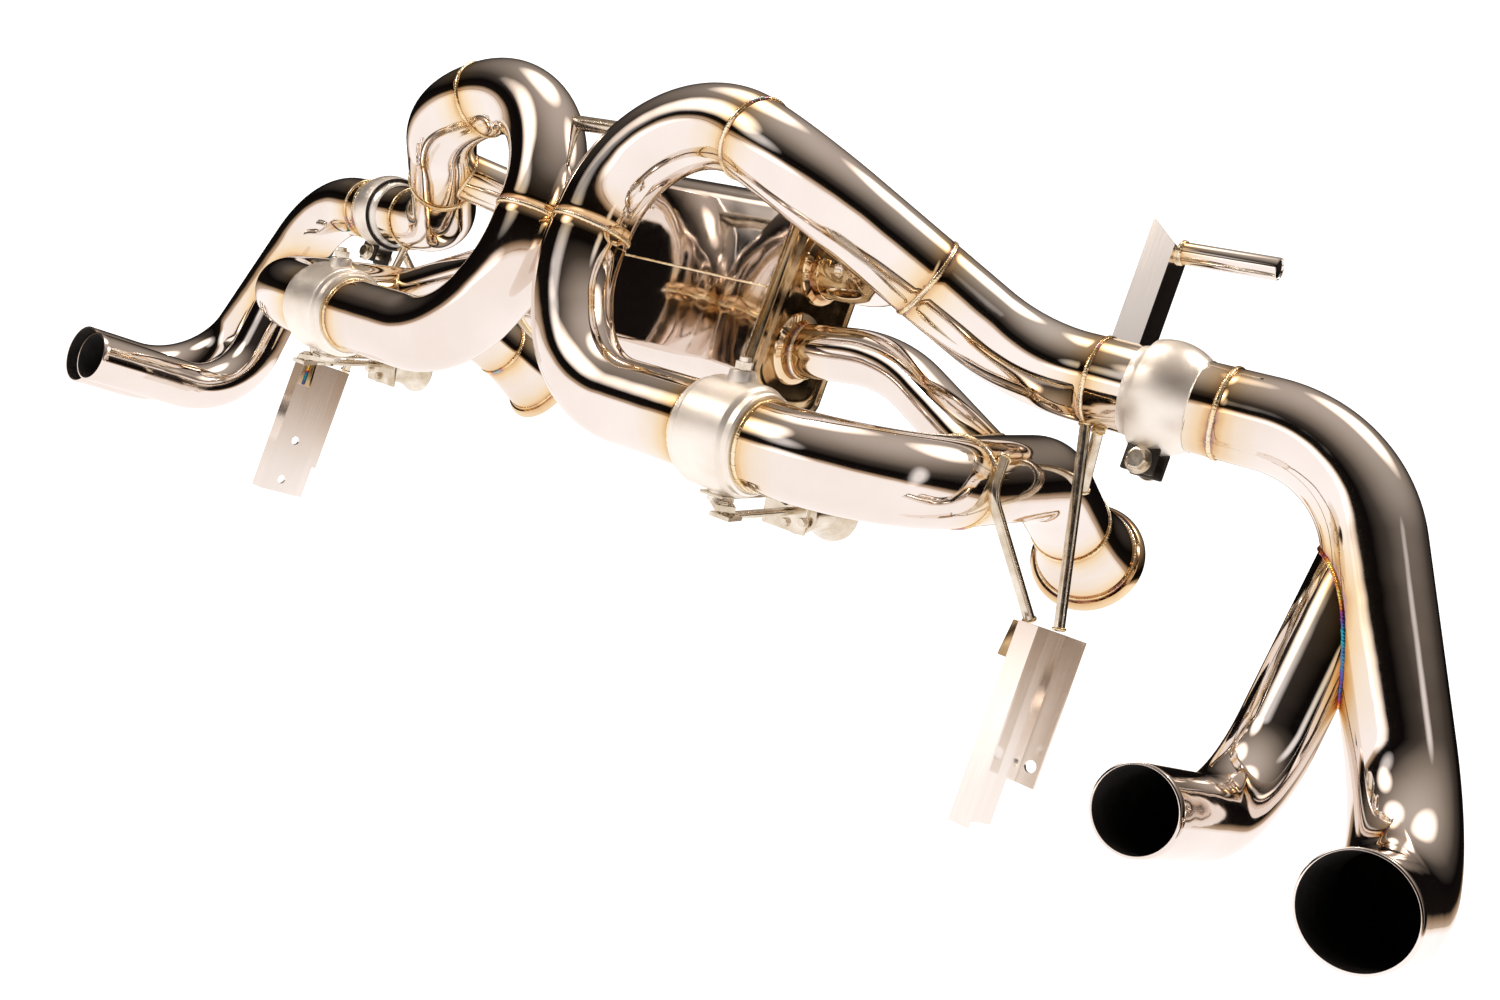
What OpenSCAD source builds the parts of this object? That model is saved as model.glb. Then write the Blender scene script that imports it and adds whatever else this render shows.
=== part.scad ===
// Valved twin-loop exhaust system for a rear-engined racing car.
// Origin: midway between the two ball joints. +X right, +Y forward, +Z up; tips point to -Y.

/* [Pipe] */
// Outer diameter of the main pipe
main_d = 63.5; // [50:0.5:90]
// Outer diameter of the second tail branch
branch_d = 50.8; // [38:0.1:76]
// Outer diameter of the muffler feed and outlet pipes
bypass_d = 44.5; // [30:0.5:60]
// Wall of every pipe
wall = 1.5; // [1:0.1:3]
// Centreline bend radius of the main pipe
bend_r = 95; // [80:1:140]
// Centreline bend radius of the two inlet bends
inlet_r = 80; // [70:1:120]
// Centreline bend radius of the side bend of the loop
loop_r = 106; // [90:1:130]
// Centreline bend radius of the top bend of the loop
top_r = 92; // [80:1:110]
// Centreline bend radius of the bend that leads outward
out_r = 123; // [90:1:130]
// Centreline bend radius of the branch
branch_r = 76; // [60:1:120]
// Centreline bend radius of the feed and outlet pipes
bypass_r = 57; // [50:1:90]
// Centreline bend radius of the feed pipe
feed_r = 130; // [80:1:160]
// Root gap left between two welded pipes
gap = 0.3; // [0.1:0.1:1]

/* [Inlet] */
// Centre of the inlet flange face
inlet_at = [349, 194, -112]; // [-400:1:400]
// Corner of the first inlet bend
arch_at = [366, 40, -72]; // [-400:1:400]
// Corner of the bend that turns the pipe inward
turn_at = [372, -172, -126]; // [-400:1:400]
// Outer diameter of the flange ring
flange_d = 96; // [80:1:120]
// Thickness of the flange ring
flange_t = 8; // [5:0.5:15]
// Length of the cone behind the flange
cone_len = 70; // [40:1:90]
// Large end of the cone
cone_d = 82; // [70:1:100]

/* [Loop] */
// Corner of the low bend
low_at = [79, -172, -126]; // [-400:1:400]
// Corner of the side bend
side_at = [32, -170, -45]; // [-400:1:400]
// Corner of the top bend
top_at = [39, -162, 128]; // [-400:1:400]
// Corner of the bend that leads outward
out_at = [208, -160, 68]; // [-400:1:400]
// Corner of the bend before the ball joint
s_at = [347, -10, 0]; // [-400:1:400]
// Centre of the ball joint
ball_at = [452, 0, 0]; // [0:1:600]

/* [Valve] */
// Centre of the valve on the pipe axis
valve_at = [240, -172, -126]; // [-400:1:400]
// Outer diameter of the valve body
valve_d = 79; // [70:1:100]
// Length of the valve body
valve_len = 56; // [40:1:90]
// Lean of the valve shaft
valve_lean = 15; // [0:1:30]
// Diameter of the valve shaft
shaft_d = 8; // [6:0.5:12]
// Crank radius of the valve lever
lever_r = 20; // [14:0.5:30]
// Opening angle of the valve
valve_open = 80; // [60:1:90]
// Diameter of the actuator can
can_d = 44; // [40:1:70]
// Length of the actuator can
can_len = 52; // [40:1:90]

/* [Tail] */
// Radius of the ball
ball_r = 37; // [34:0.5:45]
// Distance from the ball centre to the first tail bend corner
tail_reach = 133; // [100:1:160]
// Corner of the lower tail bend
drop_at = [703, 14, -257]; // [400:1:900]
// Y of the main tip opening
tip_y = -140; // [-250:1:-80]
// Start of the branch on the main tail pipe
fork_at = [606, 17, -68]; // [400:1:900]
// Corner of the branch bend
branch_at = [595, -16, -250]; // [400:1:900]
// Y of the branch tip opening
branch_y = -185; // [-280:1:-100]

/* [Muffler] */
// Length of the muffler
muf_len = 284; // [200:1:400]
// Depth of the muffler along Y
muf_y = 100; // [80:1:160]
// Height of the muffler
muf_z = 175; // [100:1:200]
// Centre of the muffler
muf_at = [0, -10, 0]; // [-100:1:100]
// Corner of the feed pipe bend
feed_at = [235, -10, -23]; // [0:1:400]
// Where the feed pipe leaves the inlet pipe
tee_at = [368, -25, -89]; // [0:1:400]
// Height of the feed pipe at the muffler
feed_z = -33; // [-80:1:0]
// Height of the outlet pipe at the muffler
outlet_z = 36; // [0:1:60]

/* [Mounting] */
// Centre of the hanger pin root
pin_at = [419, 19, 112]; // [0:1:600]
// Diameter of the hanger pin
pin_d = 16; // [10:0.5:25]
// Length of the hanger pin
pin_len = 72; // [40:1:100]
// Inner face of the lower bracket
bracket_x = 431; // [400:1:500]
// Bottom edge of the lower bracket
bracket_z = -320; // [-400:1:-250]
// Height of the lower bracket
bracket_h = 142; // [80:1:200]
// Depth of the lower bracket along Y
bracket_y = 62; // [40:1:90]
// Width of the lower bracket flanges
bracket_w = 15; // [10:1:40]
// Y of the back face of the lower bracket
bracket_back = 8; // [-20:1:30]
// Diameter of the bracket holes
hole_d = 9; // [6:0.5:14]

/* [Hidden] */
$fn = 64;
step_in = 0.1;   // a bend is this much smaller in radius than the straights it joins
lap = 0.8;       // and a straight laps its end this far
steel = [0.80, 0.78, 0.76];
cast = [0.62, 0.61, 0.60];
gold = [0.72, 0.60, 0.42];
satin = [0.66, 0.64, 0.62];
dark = [0.20, 0.19, 0.18];

ball_axis = unit(ball_at - s_at);
knee_at = ball_at + ball_axis * tail_reach;
tip_at = [drop_at[0], tip_y, drop_at[2]];
branch_tip_at = [branch_at[0], branch_y, branch_at[2]];
muf_end = muf_len / 2;
feed_start = [muf_end, feed_at[1], feed_z];
outlet_start = [muf_end, muf_at[1], outlet_z];
outlet_bend = [muf_end + 58, muf_at[1], outlet_z];
outlet_end = along(out_at, s_at, 0.43);
inlet_dir = unit(arch_at - inlet_at);
cone_end = inlet_at + inlet_dir * cone_len;
y_ring = along(arch_at, turn_at, 0.6);
valve_in = valve_at + [valve_len / 2 - 8, 0, 0];
valve_out = valve_at - [valve_len / 2 - 8, 0, 0];
ring1 = along(side_at, top_at, 0.23);
ring2 = along(top_at, out_at, 0.7);
ring3 = along(out_at, s_at, 0.55);
ring4 = s_at + ball_axis * 57;
ring5 = ball_at + ball_axis * 44;
stub_end = ball_at - ball_axis * (ball_r - 6);
closed = -valve_open / 2;
lever_z = -46;      // height of the crank arm under the valve axis
plate_z = -42.5;    // underside of the actuator bracket
can_x = 17.7;
can_y = 66;

function unit(v) = v / norm(v);
function along(a, b, k) = a + (b - a) * k;
function turn(u, v) = acos(min(1, max(-1, unit(u) * unit(v))));
function side(z) = unit(cross(z, abs(z[2]) < 0.9 ? [0, 0, 1] : [1, 0, 0]));
// How far a bend of radius r reaches from corner b along each leg.
function reach(a, b, c, r) = r * tan(turn(b - a, c - b) / 2);

// Puts its child at p with the child's own X along x and Z along z.
module aim(p, x, z) {
  y = cross(z, x);
  multmatrix([[x[0], y[0], z[0], p[0]], [x[1], y[1], z[1], p[1]],
    [x[2], y[2], z[2], p[2]], [0, 0, 0, 1]]) children();
}
module ring2d(d, t) difference() {
  circle(d = d);
  if (t > 0) circle(d = d - 2 * t);
}
// Straight pipe from a to b; t = 0 makes a solid bar.
module straight(a, b, d, t) aim(a, side(unit(b - a)), unit(b - a))
  linear_extrude(height = norm(b - a)) ring2d(d, t);
// Pipe bend of radius r at corner b between points a and c.
module bend(a, b, c, r, d, t) {
  u = unit(b - a);
  v = unit(c - b);
  n = unit(v - u * (u * v));
  s = b - u * reach(a, b, c, r);
  aim(s + n * r, -n, cross(u, n))
    rotate_extrude(angle = turn(u, v)) translate([r, 0]) ring2d(d, t);
}
// Pipe through the points of p with bends of radius r at its inner corners.
module tube(p, r, d, t) {
  n = len(p) - 1;
  for (i = [0:n - 1]) {
    u = unit(p[i + 1] - p[i]);
    t0 = i == 0 ? gap / 2 : reach(p[i - 1], p[i], p[i + 1], r[i - 1]) - lap;
    t1 = i == n - 1 ? gap / 2 : reach(p[i], p[i + 1], p[i + 2], r[i]) - lap;
    straight(p[i] + u * t0, p[i + 1] - u * t1, d, t);
    if (i < n - 1)
      bend(p[i], p[i + 1], p[i + 2], r[i], d - 2 * step_in, t);
  }
}
// Weld bead standing on a pipe of diameter d at p.
module bead(p, z, d, w = 1.6) aim(p, side(unit(z)), unit(z)) rotate_extrude()
  translate([d / 2 + 0.05, 0]) intersection() { circle(r = w, $fn = 24); translate([0, -w]) square(2 * w); }
// The frame of the valve shaft: own Z along the shaft, own X along the pipe.
module at_valve() translate(valve_at) rotate([valve_lean, 0, 0]) children();
// The frame of the ball joint: own Z along the pipe axis outward.
module at_ball() aim(ball_at, side(ball_axis), ball_axis) children();
module left() mirror([1, 0, 0]) children();

// ---------- muffler ----------
module can2d(grow) intersection() {
  square([muf_z + 2 * grow, muf_y + 2 * grow], center = true);
  circle(r = muf_z / 2 + 1 + grow);
}
module along_x(p) translate(p) rotate([0, 90, 0]) children();
module muffler_shell() color(steel) along_x(muf_at - [muf_end - 2, 0, 0])
  linear_extrude(height = muf_len - 4) difference() { can2d(0); can2d(-1.5); }
module right_muffler_cap() color(dark) difference() {
  along_x(muf_at + [muf_end - 8, 0, 0]) difference() {
    linear_extrude(height = 10) can2d(2);
    translate([0, 0, -1]) linear_extrude(height = 7) can2d(0.3);
  }
  along_x([muf_end - 20, feed_start[1], feed_z]) cylinder(d = bypass_d + 0.6, h = 40);
  along_x([muf_end - 20, outlet_start[1], outlet_z]) cylinder(d = bypass_d + 0.6, h = 40);
}
module left_muffler_cap() left() right_muffler_cap();
module tie_rod() color(gold) difference() {
  along_x([-45, -162, 78]) cylinder(d = 12, h = 90);
  bend(side_at, top_at, out_at, top_r, main_d + 0.2, 0);
  left() bend(side_at, top_at, out_at, top_r, main_d + 0.2, 0);
}

// ---------- inlet and lower pipe ----------
module right_inlet_ring() color(steel) aim(inlet_at, side(inlet_dir), inlet_dir) difference() {
  cylinder(d = flange_d, h = flange_t);
  translate([0, 0, -1]) cylinder(d = cone_d - 2 * wall, h = flange_t + 2);
  translate([0, 0, flange_t - 3]) cylinder(d = cone_d + 0.4, h = 4);
}
module right_inlet_cone() color(steel)
  aim(inlet_at + inlet_dir * (flange_t - 2.7), side(inlet_dir), inlet_dir) difference() {
    l = cone_len - flange_t + 2.7 - gap / 2;
    cylinder(d1 = cone_d, d2 = main_d + 1, h = l);
    translate([0, 0, -0.01]) cylinder(d1 = cone_d - 2 * wall, d2 = main_d + 1 - 2 * wall, h = l + 0.02);
  }
module right_inlet_pipe() color(steel) difference() {
  tube([cone_end, arch_at, y_ring], [inlet_r], main_d, wall);
  straight(feed_at, tee_at, bypass_d - 2 * wall, 0);
}
module right_feed_pipe() color(steel) tube([y_ring, turn_at, valve_in], [inlet_r], main_d, wall);
module right_riser_pipe() color(steel)
  tube([valve_out, low_at, side_at, ring1], [bend_r, loop_r], main_d, wall);
module right_over_pipe() color(steel) tube([ring1, top_at, ring2], [top_r], main_d, wall);
module right_long_pipe() color(steel) difference() {
  tube([ring2, out_at, ring3], [out_r], main_d, wall);
  straight(outlet_bend, outlet_end, bypass_d - 2 * wall, 0);
}
module right_s_pipe() color(steel) tube([ring3, s_at, ring4], [loop_r], main_d, wall);
module right_ball_stub() color(steel) difference() {
  union() {
    straight(ring4 + ball_axis * gap / 2, ball_at - ball_axis * 15, main_d, 0);
    at_ball() intersection() {
      sphere(r = ball_r, $fn = 96);
      translate([0, 0, -25]) cylinder(r = 60, h = 45);
    }
  }
  straight(ring4, ball_at + ball_axis * 40, main_d - 2 * wall, 0);
}

// ---------- feed and outlet of the muffler ----------
module right_bypass_pipe() color(steel) difference() {
  union() {
    tube([feed_start + [3, 0, 0], feed_at, tee_at], [feed_r], bypass_d, wall);
    along_x(feed_start + [2.4, 0, 0]) difference() {
      cylinder(d = bypass_d + 14, h = 7);
      translate([0, 0, -1]) cylinder(d = bypass_d - 1, h = 9);
    }
  }
  straight(arch_at, turn_at, main_d + 0.4, 0);
}
module right_outlet_pipe() color(steel) difference() {
  tube([outlet_start + [3, 0, 0], outlet_bend, outlet_end], [bypass_r], bypass_d, wall);
  straight(out_at, s_at, main_d + 0.4, 0);
  straight(along(ring3, out_at, 0.02), along(ring3, s_at, 0.023), main_d + 4.4, 0);
}

// ---------- valve ----------
module right_valve_body() color(cast) difference() {
  union() {
    along_x(valve_at - [valve_len / 2, 0, 0]) cylinder(d = valve_d - 6, h = valve_len);
    along_x(valve_at - [valve_len / 2 - 7, 0, 0]) cylinder(d = valve_d, h = valve_len - 14);
    at_valve() translate([0, 0, plate_z - 0.5]) cylinder(d = 19, h = 46.5 - plate_z);
  }
  along_x(valve_at - [valve_len, 0, 0]) cylinder(d = main_d - 2 * wall, h = 2 * valve_len);
  for (s = [-1, 1]) along_x(valve_at + [s * (valve_len / 2 + 8) - 16, 0, 0])
    cylinder(d = main_d + 0.2, h = 32);
  at_valve() translate([0, 0, -60]) cylinder(d = shaft_d + 0.1, h = 120);
}
module right_valve_shaft() color(gold) at_valve() {
  difference() {
    translate([0, 0, lever_z - 5]) cylinder(d = shaft_d, h = 60 - lever_z);
    translate([-1.05, -31, -31]) cube([2.1, 62, 62]);
  }
  translate([0, 0, 47]) cylinder(d = 13, h = 5, $fn = 6);
  rotate([0, 0, closed]) {
    difference() {
      translate([-7, -7, lever_z - 2]) cube([lever_r + 13, 14, 4]);
      translate([lever_r, 0, lever_z - 5]) cylinder(d = 6.1, h = 10);
    }
    translate([lever_r, 0, lever_z - 8]) cylinder(d = 6, h = 12);
    translate([lever_r, 0, lever_z + 2]) cylinder(d = 9, h = 1.2);
  }
}
module right_valve_disc() color(satin) at_valve() rotate([0, 90, 0])
  translate([0, 0, -1]) cylinder(r = main_d / 2 - wall - 0.4, h = 2);
module right_actuator_rod() color(gold) at_valve() {
  p = lever_r * sin(closed);
  difference() {
    translate([can_x - 9, p - 7, lever_z - 7]) cube([18, 14, 3]);
    translate([can_x - 6, p - 3.6, lever_z - 8]) cube([12, 7.2, 5]);
  }
  translate([can_x, p + 6.5, lever_z - 5.5]) rotate([-90, 0, 0]) cylinder(d = 6, h = can_y - p + 15);
}
module right_actuator() color(cast) at_valve() {
  difference() {
    translate([can_x, can_y, lever_z - 5.5]) rotate([-90, 0, 0]) union() {
      cylinder(d = can_d, h = can_len);
      translate([0, 0, can_len / 2 - 3]) cylinder(d = can_d + 6, h = 6);
      cylinder(d = 20, h = 4);
    }
    translate([can_x, can_y - 5, lever_z - 5.5]) rotate([-90, 0, 0]) cylinder(d = 6.2, h = 45);
    translate([can_x, can_y + 3, lever_z - 5.5]) rotate([-90, 0, 0]) cylinder(d = can_d - 3, h = can_len - 6);
  }
  difference() {
    union() {
      translate([-11, -11, plate_z]) cube([22, can_y + 11, 2.5]);
      translate([-11, can_y - 3, plate_z - 26]) cube([40, 3, 28.5]);
    }
    translate([0, 0, -60]) cylinder(d = 19.4, h = 30);
    translate([can_x, can_y - 5, lever_z - 5.5]) rotate([-90, 0, 0]) cylinder(d = 8, h = 8);
  }
}

// ---------- welds ----------
module right_beads() color(gold) {
  bead(inlet_at + inlet_dir * (flange_t + 1.8), inlet_dir, cone_d);
  bead(cone_end + inlet_dir * 1.8, inlet_dir, main_d);
  bead(y_ring, turn_at - arch_at, main_d);
  bead(valve_at + [valve_len / 2 + 2.4, 0, 0], [1, 0, 0], main_d, 2.2);
  bead(valve_at - [valve_len / 2 + 2.4, 0, 0], [1, 0, 0], main_d, 2.2);
  bead(ring1, top_at - side_at, main_d);
  bead(ring2, out_at - top_at, main_d);
  bead(ring3, s_at - out_at, main_d);
  bead(ring4, ball_axis, main_d);
}
module right_tail_beads() color(gold) bead(ring5, ball_axis, main_d);

// ---------- mounting ----------
// Room for the bead of the ball joint's stub in the parts that stand on it.
module over_bead() straight(ring4 - ball_axis * 2.2, ring4 + ball_axis * 2.2, main_d + 4.4, 0);
module right_hanger_arm() color(satin) difference() {
  union() {
    translate([pin_at[0] - 22, 3, 20]) cube([22, 3, 105]);
    translate([pin_at[0] - 3, 3, 20]) cube([3, 28, 105]);
    translate([pin_at[0] - 20, 5, 20]) cube([3, 22, 24]);
  }
  straight(s_at, ball_at, main_d + 0.4, 0);
  over_bead();
  translate([pin_at[0] - 22, -4, 126]) rotate([0, 38, 0]) translate([-60, 0, 0]) cube([120, 50, 60]);
}
module right_hanger_pin() color(steel) along_x([pin_at[0] + 0.2, pin_at[1], pin_at[2] - 4]) difference() {
  cylinder(d = pin_d, h = pin_len);
  translate([0, 0, 4]) cylinder(d = pin_d - 4, h = pin_len);
}
module right_bracket() color(satin) translate([bracket_x, bracket_back, bracket_z]) difference() {
  linear_extrude(height = bracket_h) polygon([
    [0, -bracket_y], [bracket_w, -bracket_y], [bracket_w, 3 - bracket_y], [3, 3 - bracket_y], [3, -19],
    [9, -3], [9 + bracket_w, -3], [9 + bracket_w, 0], [7, 0], [0, -18]]);
  for (z = [14, 57]) along_x([-5, -40, z]) cylinder(d = hole_d, h = 12);
  translate([9 + bracket_w / 2, 5, 48]) rotate([90, 0, 0]) cylinder(d = hole_d, h = 12);
  translate([4.5, -10, -20]) cube([40, 15, 54]);
  translate([-10, -bracket_y - 1, 0]) rotate([-40, 0, 0]) translate([0, -20, -40]) cube([60, 40, 40]);
}
module rod(a, b, d = 8) straight(a, b, d, 0);
module right_struts() color(satin) difference() {
  union() {
    rod([404, -4, -20], [436, 0, bracket_z + bracket_h - 2]);
    tube([[377, -76, -72], [380, -76, -102], [433, -42, bracket_z + bracket_h - 2]], [16], 8, 0);
    rod([403, 4, -20], [384, 30, -50]);
  }
  straight(s_at, ball_at, main_d + 0.6, 0);
  straight(arch_at, turn_at, main_d + 0.6, 0);
  bend(cone_end, arch_at, turn_at, inlet_r, main_d + 0.6, 0);
  over_bead();
  translate([bracket_x - 20, -80, bracket_z]) cube([60, 100, bracket_h + 0.3]);
}

// ---------- ball joint and tail ----------
module right_seal_ring() color(dark) at_ball() rotate_extrude() intersection() {
  difference() { circle(r = ball_r + 0.85, $fn = 96); circle(r = ball_r + 0.05, $fn = 96); }
  translate([20, -10]) square([30, 24]);
}
module right_socket() color(cast) {
  difference() {
    at_ball() difference() {
      sphere(r = ball_r + 3.4, $fn = 96);
      sphere(r = ball_r + 0.9, $fn = 96);
      translate([0, 0, -63]) cylinder(r = 60, h = 50);
      translate([0, 0, 24]) cylinder(r = 60, h = 50);
    }
  }
  straight(ball_at + ball_axis * 23.2, ring5 - ball_axis * gap / 2, main_d, wall);
}
module right_clamp_lugs() color(dark) for (s = [-1, 1]) difference() {
  translate([ball_at[0] - 14 + 4, s * 9 - 2, -56]) cube([24, 4, 24]);
  translate(ball_at) sphere(r = ball_r + 3.5, $fn = 96);
  translate([ball_at[0] + 2, 20, -48]) rotate([90, 0, 0]) cylinder(d = 8.4, h = 40);
}
module right_clamp_bolt() color(satin) translate([ball_at[0] + 2, 0, -48]) rotate([90, 0, 0]) {
  translate([0, 0, -18]) cylinder(d = 8, h = 34);
  translate([0, 0, 11.3]) cylinder(d = 15, h = 6, $fn = 6);
  translate([0, 0, -17.6]) cylinder(d = 15, h = 6, $fn = 6);
}
module right_tail_pipe() color(steel) difference() {
  tube([ring5, knee_at, drop_at, tip_at], [bend_r, bend_r], main_d, wall);
  straight(fork_at, branch_at, branch_d - 2 * wall, 0);
}
module right_branch_pipe() color(steel) difference() {
  tube([fork_at, branch_at, branch_tip_at], [branch_r], branch_d, wall);
  straight(knee_at, drop_at, main_d + 0.5, 0);
}

module left_inlet_ring() left() right_inlet_ring();
module left_inlet_cone() left() right_inlet_cone();
module left_inlet_pipe() left() right_inlet_pipe();
module left_feed_pipe() left() right_feed_pipe();
module left_valve_body() left() right_valve_body();
module left_riser_pipe() left() right_riser_pipe();
module left_over_pipe() left() right_over_pipe();
module left_long_pipe() left() right_long_pipe();
module left_s_pipe() left() right_s_pipe();
module left_ball_stub() left() right_ball_stub();
module left_bypass_pipe() left() right_bypass_pipe();
module left_outlet_pipe() left() right_outlet_pipe();
module left_beads() left() right_beads();
module left_hanger_arm() left() right_hanger_arm();
module left_hanger_pin() left() right_hanger_pin();
module left_bracket() left() right_bracket();
module left_struts() left() right_struts();
module left_actuator() left() right_actuator();
module left_valve_shaft() left() right_valve_shaft();
module left_valve_disc() left() right_valve_disc();
module left_actuator_rod() left() right_actuator_rod();
module left_seal_ring() left() right_seal_ring();
module left_socket() left() right_socket();
module left_clamp_lugs() left() right_clamp_lugs();
module left_clamp_bolt() left() right_clamp_bolt();
module left_tail_pipe() left() right_tail_pipe();
module left_branch_pipe() left() right_branch_pipe();
module left_tail_beads() left() right_tail_beads();

muffler_shell();
right_muffler_cap();
left_muffler_cap();
tie_rod();
right_inlet_ring();
left_inlet_ring();
right_inlet_cone();
left_inlet_cone();
right_inlet_pipe();
left_inlet_pipe();
right_feed_pipe();
left_feed_pipe();
right_valve_body();
left_valve_body();
right_riser_pipe();
left_riser_pipe();
right_over_pipe();
left_over_pipe();
right_long_pipe();
left_long_pipe();
right_s_pipe();
left_s_pipe();
right_ball_stub();
left_ball_stub();
right_bypass_pipe();
left_bypass_pipe();
right_outlet_pipe();
left_outlet_pipe();
right_beads();
left_beads();
right_hanger_arm();
left_hanger_arm();
right_hanger_pin();
left_hanger_pin();
right_bracket();
left_bracket();
right_struts();
left_struts();
right_actuator();
left_actuator();
right_valve_shaft();
left_valve_shaft();
right_valve_disc();
left_valve_disc();
right_actuator_rod();
left_actuator_rod();
right_seal_ring();
left_seal_ring();
right_socket();
left_socket();
right_clamp_lugs();
left_clamp_lugs();
right_clamp_bolt();
left_clamp_bolt();
right_tail_pipe();
left_tail_pipe();
right_branch_pipe();
left_branch_pipe();
right_tail_beads();
left_tail_beads();
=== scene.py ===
import math
import random

import bmesh
import bpy
import numpy as np
from mathutils import Matrix, Vector, kdtree


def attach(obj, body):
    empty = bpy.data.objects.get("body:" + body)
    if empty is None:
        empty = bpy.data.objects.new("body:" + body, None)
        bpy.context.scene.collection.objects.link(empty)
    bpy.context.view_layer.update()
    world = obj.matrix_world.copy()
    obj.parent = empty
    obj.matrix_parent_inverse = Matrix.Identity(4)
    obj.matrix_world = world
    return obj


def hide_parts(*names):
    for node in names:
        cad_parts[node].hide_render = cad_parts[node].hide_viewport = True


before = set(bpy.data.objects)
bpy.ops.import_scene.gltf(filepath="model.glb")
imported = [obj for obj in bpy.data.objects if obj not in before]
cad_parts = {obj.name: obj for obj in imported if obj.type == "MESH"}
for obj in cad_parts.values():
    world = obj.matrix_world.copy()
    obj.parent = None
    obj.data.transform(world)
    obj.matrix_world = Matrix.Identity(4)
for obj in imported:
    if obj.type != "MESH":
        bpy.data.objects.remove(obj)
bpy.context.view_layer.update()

MM = 0.001
SEG = 72                       # facets round a pipe
PLUS_X = np.array([1.0, 0, 0])

# ---------- design values of the right half, in metres ----------


def p3(x, y, z):
    """A point given in millimetres."""
    return np.array([x, y, z], float) * MM


MAIN, BRANCH, BYPASS = 31.75 * MM, 25.4 * MM, 22.25 * MM    # outer radii of the three tubes
WALL = 1.5 * MM
INLET, ARCH, TURN = p3(349, 194, -112), p3(366, 40, -72), p3(372, -172, -126)
LOW, SIDE, TOP = p3(79, -172, -126), p3(32, -170, -45), p3(39, -162, 128)
OUT, S_BEND, BALL = p3(208, -160, 68), p3(347, -10, 0), p3(452, 0, 0)
DROP, TIP = p3(703, 14, -257), p3(703, -140, -257)
FORK, B_BEND, B_TIP = p3(606, 17, -68), p3(595, -16, -250), p3(595, -185, -250)
VALVE = p3(240, -172, -126)
FEED, TEE = p3(235, -10, -23), p3(368, -25, -89)
MUF, MUF_LEN, MUF_Y, MUF_Z = p3(0, -10, 0), 284 * MM, 100 * MM, 175 * MM
MUF_END = MUF_LEN / 2
FEED_0 = np.array([MUF_END, FEED[1], -33 * MM])
OUTLET_0 = np.array([MUF_END, MUF[1], 36 * MM])
OUTLET_1 = OUTLET_0 + p3(58, 0, 0)
FLANGE_T, CONE_R, CONE_LEN = 8 * MM, 41 * MM, 70 * MM
BALL_R, SEAT_R, SOCKET_R = 37.0, 37.9, 40.4       # ball, inside and outside of its socket, in mm
LEAN = math.radians(15)                           # of the valve shaft from upright


def unit(v):
    """The vector made one long."""
    return v / np.linalg.norm(v)


def along(a, b, k):
    """The point at share k of the way from a to b."""
    return a + (b - a) * k


IN_DIR = unit(ARCH - INLET)
CONE_END = INLET + IN_DIR * CONE_LEN
B_AXIS = unit(BALL - S_BEND)
KNEE = BALL + B_AXIS * 133 * MM
Y_RING = along(ARCH, TURN, 0.6)
RING1, RING2, RING3 = along(SIDE, TOP, 0.23), along(TOP, OUT, 0.7), along(OUT, S_BEND, 0.55)
RING4, RING5 = S_BEND + B_AXIS * 57 * MM, BALL + B_AXIS * 44 * MM
OUTLET_2 = along(OUT, S_BEND, 0.43)
V_IN, V_OUT = VALVE + p3(20, 0, 0), VALVE - p3(20, 0, 0)
SIDES = {"right": 1.0, "left": -1.0}


def flip(side, *pts):
    """The same points on the right or left half."""
    got = [np.array([p[0] * SIDES[side], p[1], p[2]]) for p in pts]
    return got if len(got) > 1 else got[0]


# ---------- mesh helpers ----------


def make(name, verts, faces, mats, face_mat=None, attrs=None, smooth=35):
    """A mesh object from vertices and faces, with smooth shading up to an edge angle."""
    me = bpy.data.meshes.new(name)
    me.from_pydata([tuple(v) for v in verts], [], [tuple(f) for f in faces])
    for m in mats:
        me.materials.append(m)
    if face_mat is not None:
        me.polygons.foreach_set("material_index", np.array(face_mat, np.int32))
    for key, values in (attrs or {}).items():
        a = me.attributes.new(key, "FLOAT", "POINT")
        a.data.foreach_set("value", np.array(values, np.float32))
    me.polygons.foreach_set("use_smooth", [True] * len(me.polygons))
    me.update()
    me.set_sharp_from_angle(angle=math.radians(smooth))
    ob = bpy.data.objects.new(name, me)
    bpy.context.scene.collection.objects.link(ob)
    return ob


def route(corners, radii, step=0.006, turn=2.5):
    """Centreline through the corners with round bends: a list of (point, direction)."""
    out, start = [], corners[0]
    for i in range(1, len(corners)):
        u = unit(corners[i] - corners[i - 1])
        if i < len(corners) - 1:
            v = unit(corners[i + 1] - corners[i])
            ang = math.acos(float(np.clip(u @ v, -1, 1)))
            end = corners[i] - u * radii[i - 1] * math.tan(ang / 2)
        else:
            end = corners[i]
        n = max(1, int(np.linalg.norm(end - start) / step))
        out += [(along(start, end, k / n), u) for k in range(n)]
        if i < len(corners) - 1:
            r, side = radii[i - 1], unit(v - u * (u @ v))
            centre = end + side * r
            m = max(2, int(math.degrees(ang) / turn))
            out += [(centre - side * r * math.cos(ang * k / m) + u * r * math.sin(ang * k / m),
                     u * math.cos(ang * k / m) + side * math.sin(ang * k / m)) for k in range(m)]
            start = centre - side * r * math.cos(ang) + u * r * math.sin(ang)
    out.append((corners[-1], u))
    return out


def frames(path):
    """Two cross directions at every path point, carried along without twist."""
    t0 = path[0][1]
    a = np.cross(t0, [0, 0, 1.0] if abs(t0[2]) < 0.9 else [1.0, 0, 0])
    got = []
    for _, t in path:
        a = unit(a - t * (a @ t))
        got.append((a, np.cross(t, a)))
    return got


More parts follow.
